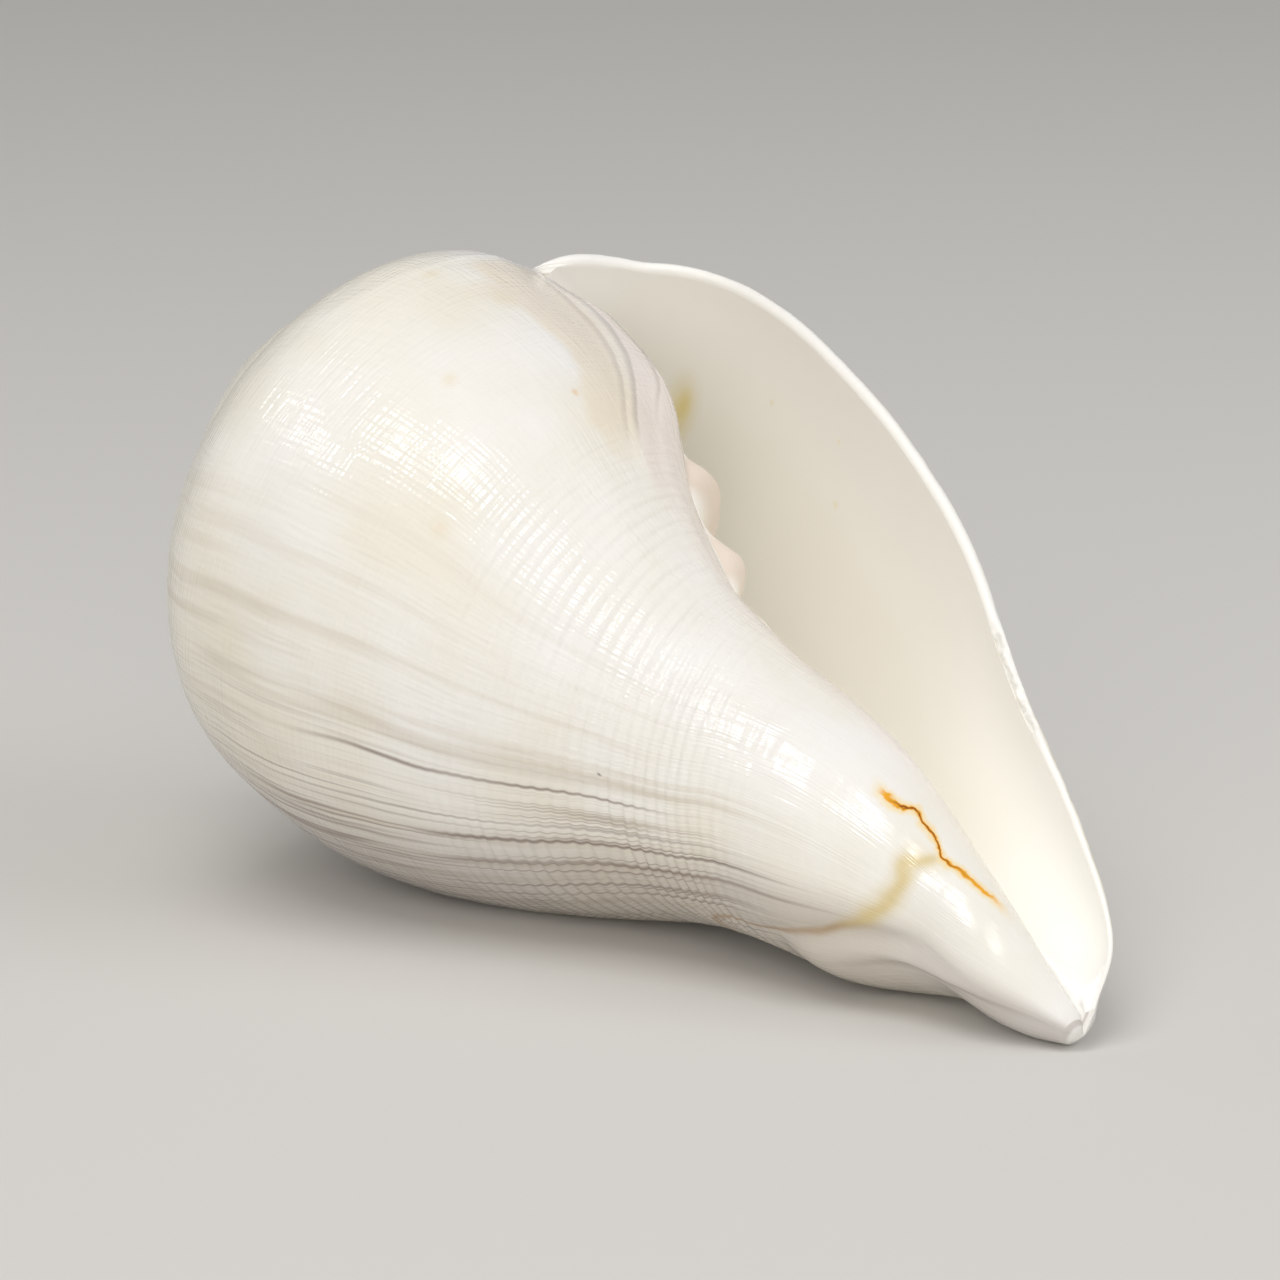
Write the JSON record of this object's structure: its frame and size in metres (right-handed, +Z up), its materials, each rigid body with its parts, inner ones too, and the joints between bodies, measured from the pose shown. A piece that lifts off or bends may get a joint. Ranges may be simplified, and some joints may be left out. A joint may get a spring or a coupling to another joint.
{
  "type": "conch shell horn",
  "caption": "Right-handed coiled sea shell with a wide mouth and a drawn-out canal tip, its apex ground flat and bored to be blown as a horn.",
  "frame": {"origin": "middle of the underside of the bounding box, on the floor the shell lies on", "axes": "+X toward the canal tip along the shell's length, +Z up out of the mouth, belly down"},
  "size_m": [0.1378, 0.0828, 0.0779],
  "materials": {
    "shell": "polished"
  },
  "bodies": {
    "root": {"conch_shell": "shell"}
  },
  "joints": []
}
